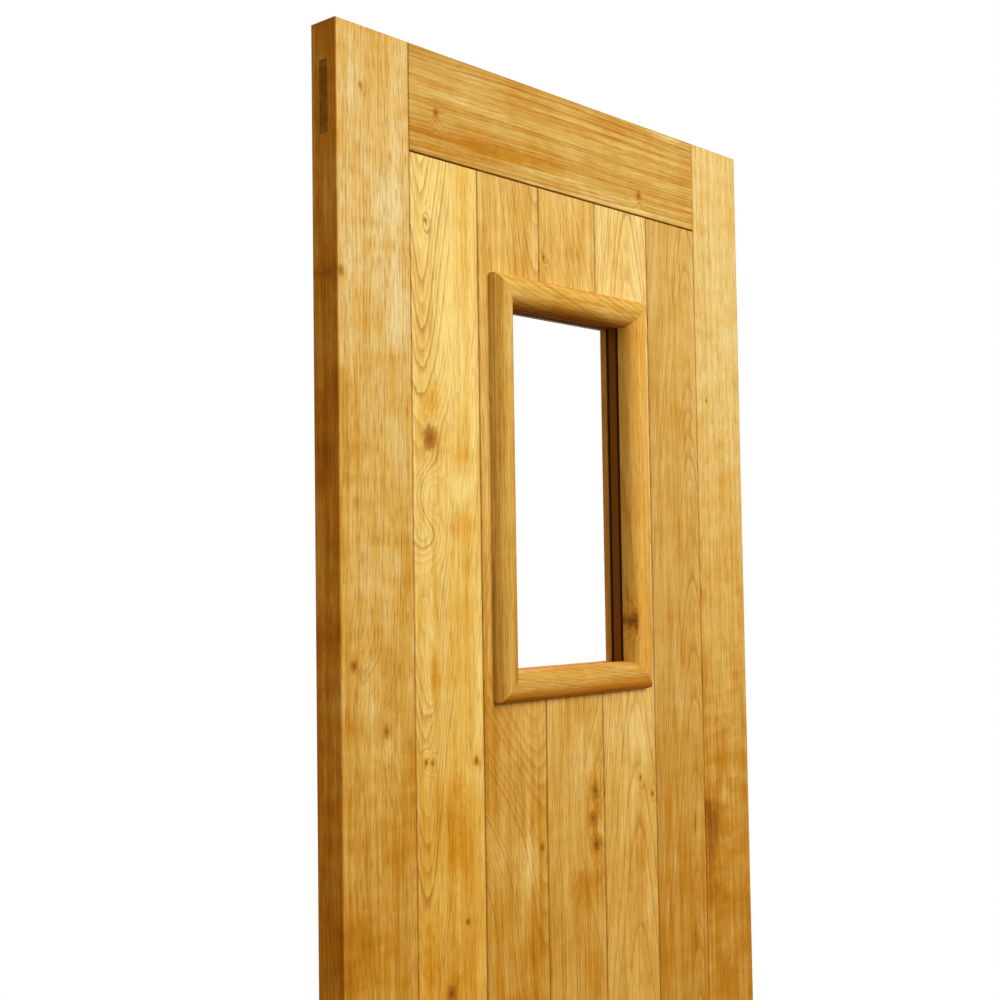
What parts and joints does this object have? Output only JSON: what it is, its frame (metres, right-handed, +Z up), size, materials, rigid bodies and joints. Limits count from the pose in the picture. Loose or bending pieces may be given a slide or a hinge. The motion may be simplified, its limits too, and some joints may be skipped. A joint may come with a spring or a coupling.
{
  "type": "oak exterior door leaf",
  "caption": "Framed and boarded oak door leaf: stiles, rails with wedged through tenons, flush tongued boards and a small double-glazed light in a raised, mitred moulding.",
  "frame": {"origin": "middle of the leaf's bottom edge, halfway across its width and its thickness", "axes": "+Z up the leaf, +X to the right as the outside face is seen, and the outside face looks along -Y"},
  "size_m": [0.838, 0.0615, 1.981],
  "materials": {
    "oak_frame": "planed oak, golden oil, satin",
    "oak_boards": "planed oak, golden oil, satin",
    "oak_lining": "planed oak, golden oil, satin",
    "oak_moulding": "moulded oak, golden oil, satin",
    "oak_wedge": "end grain, dark with oil",
    "glass": "clear float",
    "spacer": "brown warm-edge bar",
    "sealant": "dark brown sealant",
    "tape": "brown foam tape",
    "block": "plain moulded",
    "steel": "stainless"
  },
  "bodies": {
    "root": {"left_stile": "oak_frame", "right_stile": "oak_frame", "top_rail": "oak_frame", "middle_rail": "oak_frame", "bottom_rail": "oak_frame", "board_1": "oak_boards", "board_2": "oak_boards", "board_3_upper": "oak_boards", "board_3_lower": "oak_boards", "board_4": "oak_boards", "board_5": "oak_boards", "window_head": "oak_lining", "window_sill": "oak_lining", "window_jamb_left": "oak_lining", "window_jamb_right": "oak_lining", "front_moulding_top": "oak_moulding", "front_moulding_bottom": "oak_moulding", "front_moulding_left": "oak_moulding", "front_moulding_right": "oak_moulding", "rear_bead_top": "oak_moulding", "rear_bead_bottom": "oak_moulding", "rear_bead_left": "oak_moulding", "rear_bead_right": "oak_moulding", "top_rail_wedges": "oak_wedge", "middle_rail_wedges": "oak_wedge", "bottom_rail_wedges": "oak_wedge", "outer_pane": "glass", "inner_pane": "glass", "spacer_bar": "spacer", "edge_sealant": "sealant", "front_glazing_tape": "tape", "rear_glazing_tape": "tape", "setting_blocks": "block", "side_blocks": "block", "board_screws": "steel", "trim_screws": "steel", "bead_pins": "steel"}
  },
  "joints": []
}
